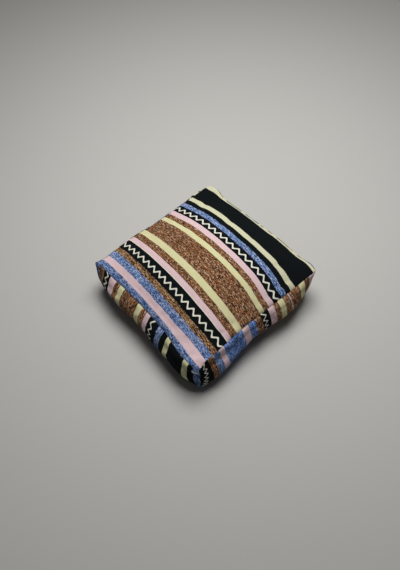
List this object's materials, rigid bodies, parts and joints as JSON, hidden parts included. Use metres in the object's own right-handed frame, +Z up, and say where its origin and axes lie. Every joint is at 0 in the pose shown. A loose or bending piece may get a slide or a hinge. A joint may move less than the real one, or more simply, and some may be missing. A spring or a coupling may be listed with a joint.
{
  "type": "boxed kilim floor cushion",
  "caption": "Square boxed floor cushion in a striped kilim cover, filled and sewn shut, with a crowned top and bulging sides.",
  "frame": {"origin": "on the surface it lies on, under the middle of the cushion's box", "axes": "+Z up, X along the stripes of the top panel, Y across them"},
  "size_m": [0.6341, 0.646, 0.2355],
  "materials": {
    "kilim_cloth": "matte striped flat weave"
  },
  "bodies": {
    "root": {"cushion": "kilim_cloth"}
  },
  "joints": []
}
